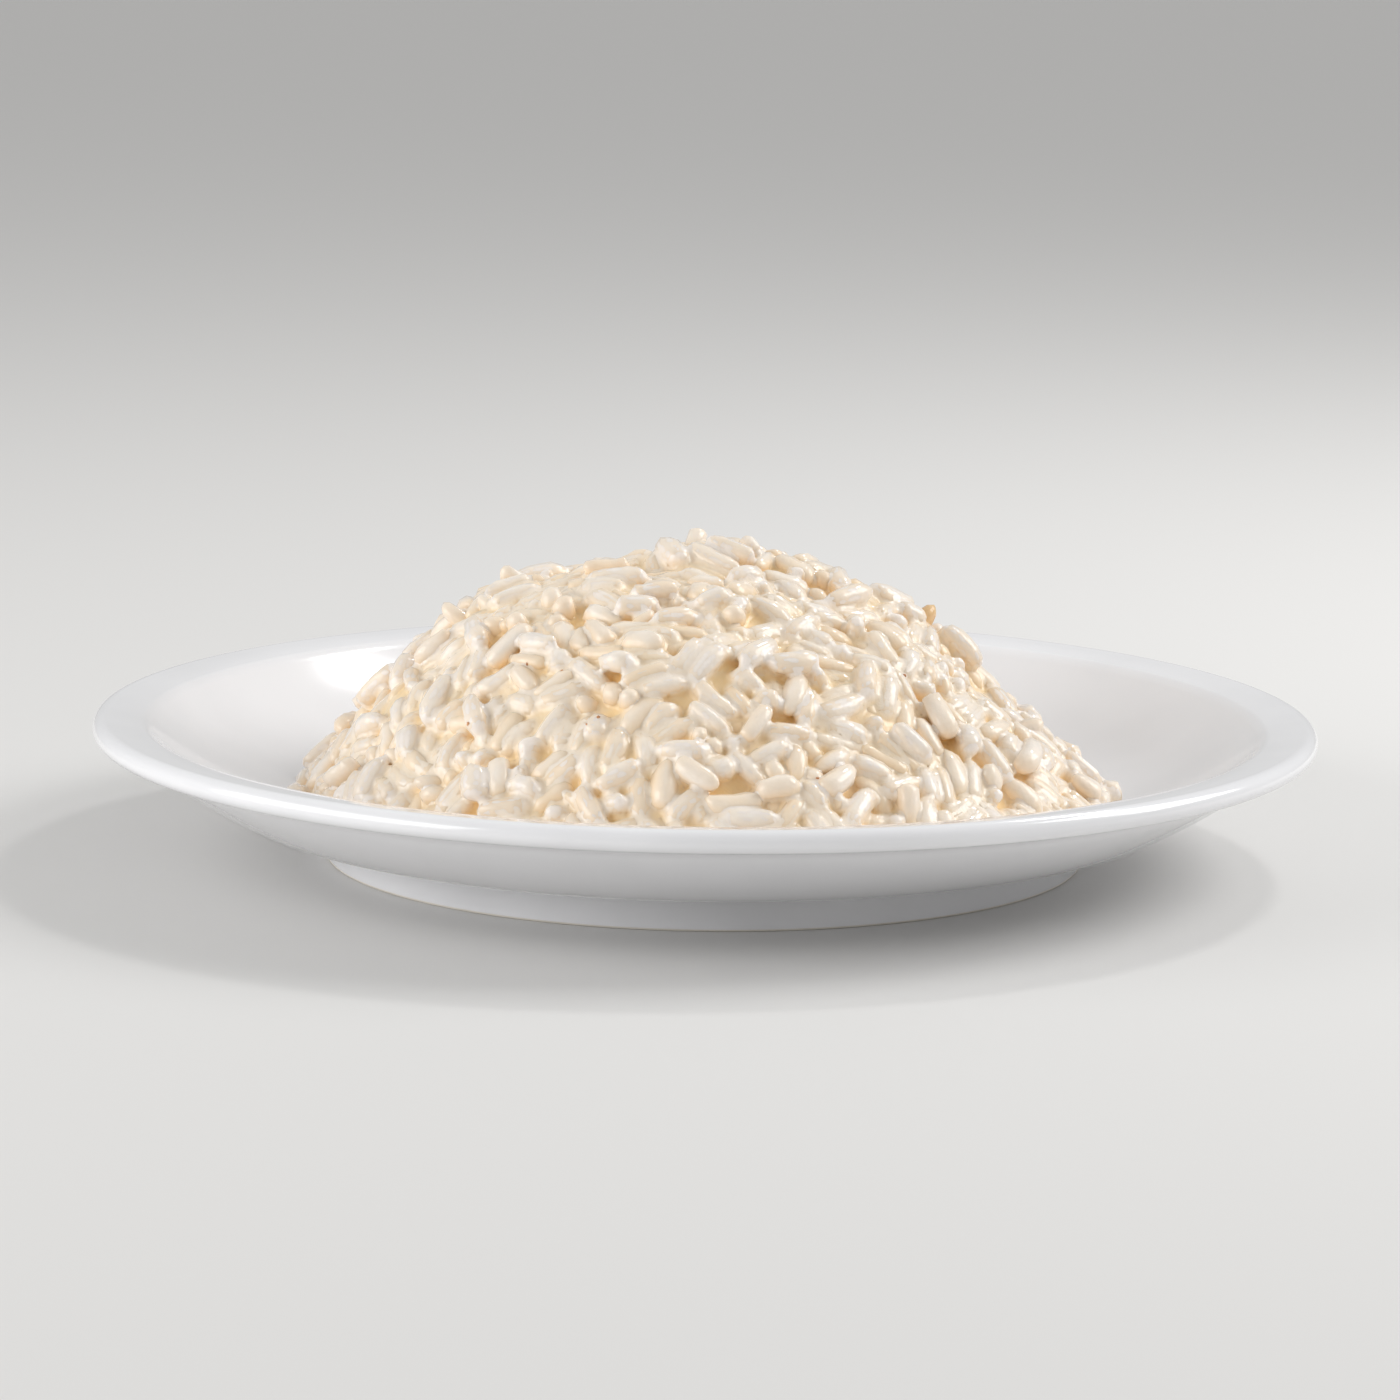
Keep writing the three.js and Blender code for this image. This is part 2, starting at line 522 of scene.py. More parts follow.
@dataclass
class Grains:
    """A set of grains: where each lies, which way it points, how large it is, and its tint, kind and roll."""

    place: np.ndarray
    axis: np.ndarray
    length: np.ndarray
    width: np.ndarray
    thickness: np.ndarray
    tint: np.ndarray
    kind: np.ndarray
    roll: np.ndarray

    def picked(self, chosen: np.ndarray) -> "Grains":
        """Only the chosen grains."""
        return Grains(**{name: getattr(self, name)[chosen] for name in self.__dataclass_fields__})

    def joined(self, more: "Grains") -> "Grains":
        """These grains and some more."""
        pairs = {name: (getattr(self, name), getattr(more, name)) for name in self.__dataclass_fields__}
        return Grains(**{name: np.concatenate(pair) for name, pair in pairs.items()})

    @property
    def half(self) -> np.ndarray:
        """Half the length of each grain's straight middle."""
        return np.maximum((self.length - self.girth) / 2, LEAST_HALF)

    @property
    def girth(self) -> np.ndarray:
        """Each grain's mean width."""
        return (self.width + self.thickness) / 2


@dataclass
class RicePile:
    """Packs grains of rice under the heap's outer form until they rest on one another.

    Spreads and ranges of lengths and widths are shares of the usual ones. Slack is how many millimetres a
    grain may stand out of the outer form.
    """

    outer: Relief
    plate: Relief
    seed: int = 11
    length: float = 9.9 * MM
    width: float = 5.0 * MM
    thickness: float = 4.4 * MM
    length_spread: float = 0.09
    length_range: tuple = (0.8, 1.18)
    width_spread: float = 0.08
    width_range: tuple = (0.82, 1.2)
    broken_share: float = 0.16
    broken_range: tuple = (0.55, 0.8)
    lie_down: float = 0.1
    kinds: int = 14
    depth: float = 11 * MM
    fill: float = 1.16
    first_tries: int = 60000
    clearance: float = 0.3
    slack: tuple = (-2.6, 1.2)
    proud_share: float = 0.18
    proud_slack: tuple = (0.8, 3.0)
    rounds: int = 120
    new_pairs_every: int = 8
    touch_reach: float = 1.25
    least_skew: float = 1e-3
    squash: float = 0.98
    push: float = 0.35
    pull_in: float = 0.5
    pull_out: float = 0.1
    most_pull_out: float = 1 * MM
    plate_share: float = 0.9
    lift: float = 0.7
    patch_tries: int = 9000
    patch_depth: float = 0.8 * MM
    patch_seat: float = 2.0 * MM
    patch_apart: float = 5.0 * MM
    patch_gap: float = 3.05 * MM
    rng: np.random.Generator = field(init=False)

    def __post_init__(self) -> None:
        """Starts the random draws."""
        self.rng = np.random.default_rng(self.seed)

    def _scattered(self, radius: float, tries: int, inset: float = 0) -> tuple[np.ndarray, np.ndarray]:
        """Random places about the axis, out to a radius less an inset."""
        x, y = self.rng.uniform(-radius, radius, (2, tries))
        inside = np.hypot(x, y) < radius - inset
        return x[inside], y[inside]

    def _seeded(self, radius: float) -> Grains:
        """Grains at random places in the shell under the outer form, not yet packed."""
        x, y = self._scattered(radius, self.first_tries)
        normal = self.outer.normal(x, y)
        shell = self.depth / normal[:, 2]
        z = self.outer.height(x, y) - self.rng.uniform(0, 1, len(x)) * shell
        free = z > self.plate.height(x, y) + self.clearance * self.thickness
        kept = free & (self.rng.uniform(0, 1, len(x)) < shell / shell.max())
        whole = math.pi * radius ** 2 * shell.max() * (kept.sum() / len(x))
        wanted = int(self.fill * whole / (math.pi / 6 * self.length * self.width * self.thickness))
        order = np.flatnonzero(kept)[:wanted]
        place = np.stack([x, y, z], axis=1)[order]
        normal, n = normal[order], len(place)
        axis = self.rng.normal(size=(n, 3))
        axis = unit(axis - self.lie_down * (axis * normal).sum(1, keepdims=True) * normal)
        broken = self.rng.uniform(0, 1, n) < self.broken_share
        length = self.length * np.clip(self.rng.normal(1, self.length_spread, n), *self.length_range)
        length = np.where(broken, length * self.rng.uniform(*self.broken_range, n), length)
        width = self.width * np.clip(self.rng.normal(1, self.width_spread, n), *self.width_range)
        return self._drawn(place, axis, length, width, width * self.thickness / self.width)

    def _drawn(self, place: np.ndarray, axis: np.ndarray, length: Any, width: Any, thickness: Any) -> Grains:
        """Grains of given places and sizes, with tint, kind and roll drawn at random."""
        n = len(place)
        length, width, thickness = (np.broadcast_to(size, n).copy() for size in (length, width, thickness))
        return Grains(place, axis, length, width, thickness, self.rng.uniform(0, 1, n),
                      self.rng.integers(0, self.kinds, n), self.rng.uniform(0, 2 * math.pi, n))

    def _near(self, grains: Grains) -> tuple[np.ndarray, np.ndarray]:
        """Index pairs of grains near enough to touch."""
        cell = self.touch_reach * self.length
        keys = np.floor(grains.place / cell).astype(int)
        homes: dict[tuple, list[int]] = {}
        for index, key in enumerate(map(tuple, keys)):
            homes.setdefault(key, []).append(index)
        pairs = []
        offsets = list(product((-1, 0, 1), repeat=3))
        for key, members in homes.items():
            around = [m for a, b, c in offsets for m in homes.get((key[0] + a, key[1] + b, key[2] + c), ())]
            pairs += [(m, other) for m in members for other in around if m < other]
        i, j = np.array(pairs).T
        close = np.linalg.norm(grains.place[i] - grains.place[j], axis=1) < cell
        return i[close], j[close]

    def packed(self, radius: float) -> Grains:
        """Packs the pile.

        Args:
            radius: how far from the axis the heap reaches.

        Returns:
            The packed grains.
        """
        grains = self._seeded(radius)
        slack = self.rng.uniform(*self.slack, len(grains.place)) * MM
        proud = self.rng.uniform(0, 1, len(slack)) < self.proud_share
        slack[proud] += self.rng.uniform(*self.proud_slack, proud.sum()) * MM
        self._settle(grains, slack, radius, self.rounds)
        patches = self._patches(grains, radius)
        grains = grains.joined(patches)
        slack = np.append(slack, np.zeros(len(patches.place)))
        self._settle(grains, slack, radius, self.rounds // 4)
        LOG.info("filled %d gaps in the pile", len(patches.place))
        return grains

    def _settle(self, grains: Grains, slack: np.ndarray, radius: float, rounds: int) -> None:
        """Pushes the grains apart and back under the outer form, round after round."""
        for turn in range(rounds):
            if turn % self.new_pairs_every == 0:
                i, j = self._near(grains)
            self._push_apart(grains, i, j)
            self._keep_inside(grains, slack, radius)

    def _patches(self, grains: Grains, radius: float) -> Grains:
        """More grains, lying along the outer form wherever no grain is near under it."""
        ends = [grains.place + side * grains.half[:, None] * grains.axis for side in (-1, 0, 1)]
        held = KDTree(3 * len(grains.place))
        for index, point in enumerate(np.concatenate(ends)):
            held.insert(point, index)
        held.balance()
        x, y = self._scattered(radius, self.patch_tries, inset=self.width)
        normal = self.outer.normal(x, y)
        spots = np.stack([x, y, self.outer.height(x, y)], axis=1) - self.patch_depth * normal
        found = []
        for index, spot in enumerate(spots):
            apart = min((np.linalg.norm(spot - spots[other]) for other in found), default=1.0)
            if apart > self.patch_apart and held.find(spot)[2] > self.patch_gap:
                found.append(index)
        axis = unit(np.cross(normal[found], self.rng.normal(size=(len(found), 3))))
        seats = spots[found] + (self.patch_depth - self.patch_seat) * normal[found]
        return self._drawn(seats, axis, self.length, self.width, self.thickness)

    def _push_apart(self, grains: Grains, i: np.ndarray, j: np.ndarray) -> None:
        """Moves and turns grains that overlap, half each."""
        half, radius = grains.half, grains.girth / 2 * self.squash
        gap = grains.place[j] - grains.place[i]
        u, v = grains.axis[i], grains.axis[j]
        b = (u * v).sum(1)
        along_u, along_v = (u * gap).sum(1), (v * gap).sum(1)
        s = np.clip((along_u - b * along_v) / np.maximum(1 - b ** 2, self.least_skew), -half[i], half[i])
        t = np.clip(b * s - along_v, -half[j], half[j])
        s = np.clip(b * t + along_u, -half[i], half[i])
        reach = gap + t[:, None] * v - s[:, None] * u
        distance = np.maximum(np.linalg.norm(reach, axis=1), TINY)
        overlap = radius[i] + radius[j] - distance
        hit = overlap > 0
        i, j, s, t = i[hit], j[hit], s[hit], t[hit]
        push = reach[hit] / distance[hit][:, None] * (self.push * overlap[hit])[:, None]
        np.add.at(grains.place, i, -0.5 * push)
        np.add.at(grains.place, j, 0.5 * push)
        np.add.at(grains.axis, i, -push * (s / (half[i] ** 2 + radius[i] ** 2))[:, None])
        np.add.at(grains.axis, j, push * (t / (half[j] ** 2 + radius[j] ** 2))[:, None])
        grains.axis = unit(grains.axis)

    def _keep_inside(self, grains: Grains, slack: np.ndarray, radius: float) -> None:
        """Brings both ends of every grain under the outer form and above the plate, and draws them out."""
        half, girth = grains.half, grains.girth / 2
        for side in (-1, 1):
            end = grains.place + side * half[:, None] * grains.axis
            x, y, z = end.T
            normal = self.outer.normal(x, y)
            over = (z - self.outer.height(x, y)) * normal[:, 2] + girth - slack
            shift = -self.pull_in * np.maximum(over, 0)[:, None] * normal
            shift += self.pull_out * np.clip(-over, 0, self.most_pull_out)[:, None] * normal
            under = self.plate.height(x, y) + self.plate_share * girth - z
            shift[:, 2] += self.lift * np.maximum(under, 0)
            out = np.hypot(x, y)
            beyond = np.maximum(out + girth - radius - slack, 0) / np.maximum(out, TINY)
            shift[:, :2] -= self.pull_in * beyond[:, None] * end[:, :2]
            grains.place += 0.5 * shift
            grains.axis += side * shift * (half / (half ** 2 + girth ** 2))[:, None]
        grains.axis = unit(grains.axis)


# --- Meshes ---


def make_mesh(name: str, points: np.ndarray, faces: list) -> Mesh:
    """A mesh from points and faces.

    Args:
        name: the mesh's name.
        points: one row for each point.
        faces: point indices of each face.

    Returns:
        The mesh, shaded smooth.
    """
    mesh = bpy.data.meshes.new(name)
    mesh.from_pydata([tuple(p) for p in points], [], [tuple(f) for f in faces])
    mesh.shade_smooth()
    return mesh


def make_object(name: str, mesh: Mesh) -> Object:
    """An object for a mesh, linked to the scene and at the origin."""
    made = bpy.data.objects.new(name, mesh)
    bpy.context.scene.collection.objects.link(made)
    return made


def store(mesh: Mesh, name: str, values: np.ndarray) -> None:
    """Writes one number for each point of a mesh under a name."""
    held = mesh.attributes.get(name) or mesh.attributes.new(name, "FLOAT", "POINT")
    held.data.foreach_set("value", np.asarray(values, np.float32))


def points_of(mesh: Mesh) -> np.ndarray:
    """A mesh's points as rows."""
    flat = np.empty(3 * len(mesh.vertices), np.float32)
    mesh.vertices.foreach_get("co", flat)
    return flat.reshape(-1, 3).astype(float)


def triangles(mesh: Mesh) -> int:
    """How many triangles a mesh's faces make."""
    return sum(len(face.vertices) - 2 for face in mesh.polygons)


def baked(piece: Object) -> Mesh:
    """Turns an object's evaluated shape into its plain mesh and removes its modifiers.

    Args:
        piece: the object, with modifiers.

    Returns:
        The plain mesh, which the object now holds.
    """
    graph = bpy.context.evaluated_depsgraph_get()
    mesh = bpy.data.meshes.new_from_object(piece.evaluated_get(graph), depsgraph=graph)
    piece.modifiers.clear()
    piece.data = mesh
    return mesh


@dataclass
class GrainShape:
    """One grain of cooked rice about its own long axis, one unit long, wide and thick."""

    seed: int
    sides: int = 8
    stations: tuple = (-0.96, -0.8, -0.42, 0.0, 0.42, 0.8, 0.96)
    first_seed: int = 100
    half_width: float = 0.47
    boxiness: tuple = (2.1, 3.4)
    bluntness: tuple = (2.6, 7.0)
    taper: float = 0.16
    waist: float = 0.16
    waist_width: float = 0.3
    roughness: float = 0.06
    bend: float = 0.17
    bend_middle: float = 0.4
    slant: float = 0.3

    def mesh(self) -> Mesh:
        """Makes the grain along X, with its heart's whiteness stored on its points.

        Returns:
            The grain's closed mesh.
        """
        rng = np.random.default_rng(self.first_seed + self.seed)
        along = np.repeat(self.stations, self.sides)
        turn = np.tile(2 * math.pi * np.arange(self.sides) / self.sides, len(self.stations))
        boxy, lean = rng.uniform(*self.boxiness), rng.uniform(0, math.pi / 2)
        section = (np.abs(np.cos(turn - lean)) ** boxy + np.abs(np.sin(turn - lean)) ** boxy) ** (-1 / boxy)
        blunt = np.where(along > 0, rng.uniform(*self.bluntness), rng.uniform(*self.bluntness))
        swell = np.sqrt(1 - np.abs(along) ** blunt) * (1 + rng.uniform(-self.taper, self.taper) * along)
        pinch = rng.uniform(0, self.waist)
        waist = 1 - pinch * np.exp(-((along - rng.uniform(-0.5, 0.5)) / self.waist_width) ** 2)
        uneven = 1 + rng.uniform(-self.roughness, self.roughness, len(turn))
        radius = self.half_width * section * swell * waist * uneven
        bend = rng.uniform(-self.bend, self.bend)
        y = radius * np.cos(turn) + bend * (along ** 2 - self.bend_middle)
        z = radius * np.sin(turn)
        slant = np.where(along > 0, *rng.uniform(-self.slant, self.slant, 2))
        x = 0.5 * along + slant * y * np.abs(along) ** 3
        tip = (1 - self.bend_middle) * bend
        ends = [(-0.5, tip, 0), (0.5, tip, 0)]
        heart = (1 - along ** 2) * (0.5 + 0.5 * np.sin(turn + lean))
        points = np.concatenate([np.stack([x, y, z], axis=1), ends])
        mesh = make_mesh(f"grain_{self.seed}", points, self._faces())
        store(mesh, "heart", np.append(heart, [0, 0]))
        return mesh

    def _faces(self) -> list[tuple]:
        """The faces of the rings and of the two ends' fans."""
        count = len(self.stations) * self.sides
        last = count - self.sides
        faces = []
        for side in range(self.sides):
            after = (side + 1) % self.sides
            faces.append((count, after, side))
            faces.append((count + 1, last + side, last + after))
            for start in range(0, last, self.sides):
                near, far = start + side, start + after
                faces.append((near, far, far + self.sides, near + self.sides))
        return faces


@dataclass
class RiceScatter:
    """Sets grains on their seats with Geometry Nodes."""

    kinds: int

    def __post_init__(self) -> None:
        """Makes the grain shapes and the node tree."""
        self.shapes = bpy.data.collections.new("grain_shapes")
        for kind in range(self.kinds):
            shape = bpy.data.objects.new(f"grain_shape_{kind:02d}", GrainShape(kind).mesh())
            self.shapes.objects.link(shape)
        self.tree = self._tree()

    def _tree(self) -> NodeTree:
        """Builds the tree: a grain on every seat, turned and sized by the seat's own values."""
        tree = bpy.data.node_groups.new("rice_scatter", "GeometryNodeTree")
        for name, kind in (("Seats", "Geometry"), ("Shapes", "Collection"), ("Size", "Float"),
                           ("Finish", "Material")):
            tree.interface.new_socket(name, in_out="INPUT", socket_type="NodeSocket" + kind)
        tree.interface.new_socket("Rice", in_out="OUTPUT", socket_type="NodeSocketGeometry")
        board = NodeBoard(tree)
        given = board.add("NodeGroupInput").outputs
        shapes = board.add("GeometryNodeCollectionInfo", Collection=given["Shapes"],
                           Separate_Children=True, Reset_Children=True)
        turn, size, kind = (
            board.add("GeometryNodeInputNamedAttribute", {"data_type": held}, Name=name)
            for name, held in (("turn", "FLOAT_VECTOR"), ("size", "FLOAT_VECTOR"), ("kind", "INT")))
        scaled = board.add("ShaderNodeVectorMath", {"operation": "SCALE"}, i0=size.outputs[0],
                           Scale=given["Size"])
        rotation = board.add("FunctionNodeEulerToRotation", Euler=turn.outputs[0])
        placed = board.add("GeometryNodeInstanceOnPoints", Points=given["Seats"],
                           Instance=shapes.outputs[0], Pick_Instance=True, Instance_Index=kind.outputs[0],
                           Rotation=rotation.outputs[0], Scale=scaled.outputs[0])
        real = board.add("GeometryNodeRealizeInstances", Geometry=placed.outputs[0])
        smooth = board.add("GeometryNodeSetShadeSmooth", Geometry=real.outputs[0])
        dressed = board.add("GeometryNodeSetMaterial", Geometry=smooth.outputs[0], Material=given["Finish"])
        result = board.add("NodeGroupOutput")
        board.feed(result.inputs[0], dressed.outputs[0])
        return tree

    def piece(self, name: str, grains: Grains, finish: Material, size: float = 1.0) -> Object:
        """Makes one piece of rice.

        Args:
            name: the piece's name.
            grains: the grains that it holds.
            finish: the grains' material.
            size: a factor on every grain's size.

        Returns:
            The piece, a plain mesh at the origin.
        """
        seats = bpy.data.meshes.new(name)
        seats.from_pydata([tuple(p) for p in grains.place], [], [])
        turns = []
        for axis, roll in zip(grains.axis, grains.roll):
            turn = Vector(axis).to_track_quat("X", "Z") @ Euler((roll, 0, 0)).to_quaternion()
            turns.append(tuple(turn.to_euler("XYZ")))
        sizes = np.stack([grains.length, grains.width, grains.thickness], axis=1)
        for label, rows in (("turn", np.array(turns)), ("size", sizes)):
            held = seats.attributes.new(label, "FLOAT_VECTOR", "POINT")
            held.data.foreach_set("vector", np.asarray(rows, np.float32).ravel())
        held = seats.attributes.new("kind", "INT", "POINT")
        held.data.foreach_set("value", grains.kind.astype(np.int32))
        store(seats, "tint", grains.tint)
        piece = make_object(name, seats)
        modifier = piece.modifiers.new("scatter", "NODES")
        modifier.node_group = self.tree
        names = {s.name: s.identifier for s in self.tree.interface.items_tree if s.in_out == "INPUT"}
        modifier[names["Shapes"]] = self.shapes
        modifier[names["Size"]] = size
        modifier[names["Finish"]] = finish
        baked(piece)
        return piece


# Grains that stand up from the heap: place in millimetres, turn and rise in degrees, and how toasted each is.
STANDING = [
    (-30, 13, 150, 58, 0.1),
    (-37, 2, 200, 40, 0.2),
    (-3, 9, 60, 50, 0.2),
    (42, 12, 35, 38, 1.9),
    (-48, -4, 170, 35, 0.3),
    (62, -8, 10, 30, 0.5),
    (20, 44, 70, 45, 0.2),
    (-24, 52, 120, 40, 0.3),
]

# Places of the toasted specks on the cream, in millimetres.
SPECKS = [
    (-34, -38), (-27, -43), (-20, -55), (-22, -56), (-45, -46), (21, -62), (38, -30),
    (-8, 40), (30, 50), (-52, 22), (56, 14), (5, 66), (-30, 60),
]


@dataclass
class Specks:
    """Tiny brown specks of toasted cheese caught on the cream."""

    size: float = 0.42 * MM
    size_range: tuple = (0.6, 1.5)
    unevenness: tuple = (0.7, 1.2)
    upward: float = 0.02 * MM
    seed: int = 3

    def build(self, skin: Object, finish: Material) -> Object:
        """Makes the specks, each an uneven crumb half sunk in the cream.

        Args:
            skin: the cream that they lie on.
            finish: the specks' material.

        Returns:
            The specks, a plain mesh at the origin.
        """
        rng = np.random.default_rng(self.seed)
        skinned = points_of(skin.data)
        form = bmesh.new()
        for x, y in SPECKS:
            aside = ((skinned[:, :2] - np.array([x, y]) * MM) ** 2).sum(1)
            seat = skinned[np.argmin(aside - self.upward * skinned[:, 2])]
            size = self.size * rng.uniform(*self.size_range, 3)
            made = bmesh.ops.create_icosphere(form, subdivisions=1, radius=1.0)["verts"]
            for vertex in made:
                vertex.co = Vector(seat) + Vector(size * np.array(vertex.co) * rng.uniform(*self.unevenness))
        mesh = bpy.data.meshes.new("toasted_specks")
        form.to_mesh(mesh)
        form.free()
        mesh.materials.append(finish)
        return make_object("toasted_specks", mesh)


class Hollows:
    """The heap skin's mean depth round each place, against which a hollow or a crest is told for painted light
    and shade.
    """

    DEEPEST = 7 * MM

    def __init__(self, rows: np.ndarray, depth: np.ndarray, cell: float = 2.2 * MM, spread: int = 3) -> None:
        """Averages the depths of a skin's points over the cells of a grid.

        Args:
            rows: the skin's points.
            depth: how deep each lies under the heap's outer form.
            cell: the grid's spacing.
            spread: how many times the averages are shared with the cells around.
        """
        self.cell = cell
        self.low = rows.min(0) - 2 * cell
        shape = tuple(((rows.max(0) - self.low) / cell).astype(int) + 3)
        shallow = depth < self.DEEPEST
        keys = tuple(((rows[shallow] - self.low) / cell).astype(int).T)
        total, count = np.zeros(shape), np.full(shape, TINY)
        np.add.at(total, keys, depth[shallow])
        np.add.at(count, keys, 1)
        for _ in range(spread):
            for axis in range(3):
                total = self._shared(total, axis)
                count = self._shared(count, axis)
        self.mean = total / count

    @staticmethod
    def _shared(values: np.ndarray, axis: int) -> np.ndarray:
        """Each cell with half a share of its two neighbours along one axis."""
        return values + 0.5 * (np.roll(values, 1, axis) + np.roll(values, -1, axis))

    def level(self, rows: np.ndarray) -> np.ndarray:
        """The mean depth of the skin round some points."""
        keys = ((rows - self.low) / self.cell).astype(int)
        keys = np.clip(keys, 0, np.array(self.mean.shape) - 1)
        return self.mean[tuple(keys.T)]


@dataclass
class Heap:
    """The heap of risotto: packed grains of rice, and the cream that binds them over a smaller core."""

    pile_depth: float = 11 * MM
    core_depth: float = 2.5 * MM
    core_inset: float = 1.5 * MM
    core_swell: float = 0.5 * MM
    swell_widths: tuple = (5.3 * MM, 6.1 * MM, 9 * MM)
    core_least: float = 0.8 * MM
    core_sink: float = 0.1 * MM
    show_share: float = 0.42
    bare_share: float = 0.32
    coat_size: float = 1.08
    voxel: float = 0.6 * MM
    soften_rounds: int = 4
    kept_faces: float = 0.42
    # Where the painted light and shade mask stands at the hollows' mean depth, and over what depth it rises by
    # one.
    hollow_shade_middle: float = 0.38
    hollow_shade_reach: float = 2.9 * MM
    standing_sink: float = 1.4 * MM
    standing_length: float = 0.95
    standing_width: float = 0.92
    standing_flatness: float = 0.86
    last_roll: float = 5
    lump_rise: float = 1.1 * MM
    lump_width: float = 4.5 * MM
    rings: int = 44
    sides: int = 180
    seed: int = 5

    def __post_init__(self) -> None:
        """Reads the heap's form and the plate's well from their solids."""
        low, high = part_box("risotto")
        self.radius = (high.x - low.x) / 2
        self.plate = Relief("plate", pitch=2 * MM, blur=0, missing=0)
        self.outer = Relief("risotto", pitch=1.5 * MM, blur=3.0 * MM, missing=low.z)
        self.outer.roughen(self.lump_rise, self.lump_width, self.radius, self.seed)
        self.pile = RicePile(self.outer, self.plate, depth=self.pile_depth)

    def core(self) -> Object:
        """The cream's core: the heap's form drawn in, closed underneath on the plate.

        Returns:
            The core, a closed mesh.
        """
        shares = np.arange(1, self.rings + 1) / self.rings
        angles = 2 * math.pi * np.arange(self.sides) / self.sides
        reach = shares * (self.radius - self.core_inset)
        x, y = np.outer(reach, np.cos(angles)).ravel(), np.outer(reach, np.sin(angles)).ravel()
        along, across, aslant = self.swell_widths
        swell = np.sin(x / along + 1) * np.sin(y / across) + np.sin((x + y) / aslant)
        drop = (self.core_depth + self.core_swell * swell) / self.outer.normal(x, y)[:, 2]
        floor = self.plate.height(x, y)
        z = np.maximum(self.outer.height(x, y) - drop, floor + self.core_least)
        zero = np.zeros(1)
        top = [0, 0, self.outer.height(zero, zero)[0] - self.core_depth]
        bottom = [0, 0, self.plate.height(zero, zero)[0] - self.core_sink]
        rows = [np.stack([x, y, level], axis=1) for level in (z, floor - self.core_sink)]
        return make_object("core", make_mesh("core", np.concatenate([*rows, [top, bottom]]), self._faces()))

    def _faces(self) -> list[tuple]:
        """The core's faces: an upper and a lower disc of rings, and the band between their edges."""
        n, half = self.sides, self.rings * self.sides
        edge = half - n
        faces = []
        for side in range(n):
            after = (side + 1) % n
            faces.append((2 * half, side, after))
            faces.append((2 * half + 1, half + after, half + side))
            for a in range(0, edge, n):
                b, c = a + n, half + a
                faces.append((a + side, b + side, b + after, a + after))
                faces.append((c + after, c + n + after, c + n + side, c + side))
            faces.append((edge + side, half + edge + side, half + edge + after, edge + after))
        return faces

    def depth(self, rows: np.ndarray) -> np.ndarray:
        """How far under the heap's outer form some points lie."""
        x, y, z = rows.T
        return (self.outer.height(x, y) - z) * self.outer.normal(x, y)[:, 2]

    def _standing(self) -> Grains:
        """The loose grains that stick up from the heap, each held by its lower end."""
        rows = np.array([(x, y) for x, y, _, _, _ in STANDING]) * MM
        turn, rise = (np.radians([entry[k] for entry in STANDING]) for k in (2, 3))
        axis = np.stack([np.cos(turn) * np.cos(rise), np.sin(turn) * np.cos(rise), np.sin(rise)], axis=1)
        height = self.outer.height(rows[:, 0], rows[:, 1]) - self.standing_sink
        count = len(STANDING)
        length = np.full(count, self.pile.length * self.standing_length)
        width = np.full(count, self.pile.width * self.standing_width)
        toasted = np.array([entry[4] for entry in STANDING])
        return Grains(np.column_stack([rows, height]), axis, length, width, width * self.standing_flatness,
                      toasted, np.arange(count) % self.pile.kinds, np.linspace(0, self.last_roll, count))

    def build(self, rice: Material, cream: Material, speck: Material) -> list[Object]:
        """Makes the heap's pieces.

        Args:
            rice: the grains' material.
            cream: the cream's material.
            speck: the specks' material.

        Returns:
            The cream, the grains and the specks.
        """
        grains = self.pile.packed(self.radius)
        depth = self.depth(grains.place)
        shown = grains.picked(depth < self.core_depth + self.show_share * self.pile.width)
        LOG.info("packed %d grains, %d of them show", len(grains.place), len(shown.place))
        scatter = RiceScatter(self.pile.kinds)
        rng = np.random.default_rng(self.seed)
        bare = rng.uniform(0, 1, len(shown.place)) < self.bare_share
        skin = self.skin(scatter, shown, bare, cream)
        pieces = [skin, scatter.piece("rice_grains", shown, rice),
                  scatter.piece("standing_grains", self._standing(), rice),
                  Specks().build(skin, speck)]
        skinned = points_of(skin.data)
        hollows = Hollows(skinned, self.depth(skinned))
        for piece in pieces:
            rows = points_of(piece.data)
            # The painted light and shade mask: low on crests, which get painted light, and high deep in
            # hollows, which get painted warm shade.
            below = self.depth(rows) - hollows.level(rows)
            store(piece.data, "crevice", np.clip(self.hollow_shade_middle + below / self.hollow_shade_reach, 0, 1))
            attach(piece, BODY)
            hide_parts("risotto")
            LOG.info("%s: %d triangles", piece.name, triangles(piece.data))
        return pieces

    def skin(self, scatter: RiceScatter, shown: Grains, bare: np.ndarray, cream: Material) -> Object:
        """The cream: core and coated grains fused into one skin and smoothed.

        Args:
            scatter: what sets the grains.
            shown: the grains near the surface.
            bare: which of them stand out of the cream.
            cream: the cream's material.

        Returns:
            The cream, a closed mesh.
        """
        core = self.core()
        coated = scatter.piece("coated_grains", shown.picked(~bare), cream, size=self.coat_size)
        slim = scatter.piece("slim_grains", shown.picked(bare), cream)
        for piece in (coated, slim):
            rounding = piece.modifiers.new("round", "SUBSURF")
            rounding.levels = rounding.render_levels = 1
            baked(piece)
        with bpy.context.temp_override(active_object=core, selected_editable_objects=[core, slim, coated]):
            bpy.ops.object.join()
        core.name = core.data.name = "cheese_cream"
        remesh = core.modifiers.new("fuse", "REMESH")
        remesh.mode = "VOXEL"
        remesh.voxel_size = self.voxel
        remesh.use_smooth_shade = True
        smooth = core.modifiers.new("soften", "SMOOTH")
        smooth.factor = 0.5
        smooth.iterations = self.soften_rounds
        thin = core.modifiers.new("thin", "DECIMATE")
        thin.ratio = self.kept_faces
        baked(core)
        core.data.materials.clear()
        core.data.materials.append(cream)
        return core


# --- Plate, stage and studio ---


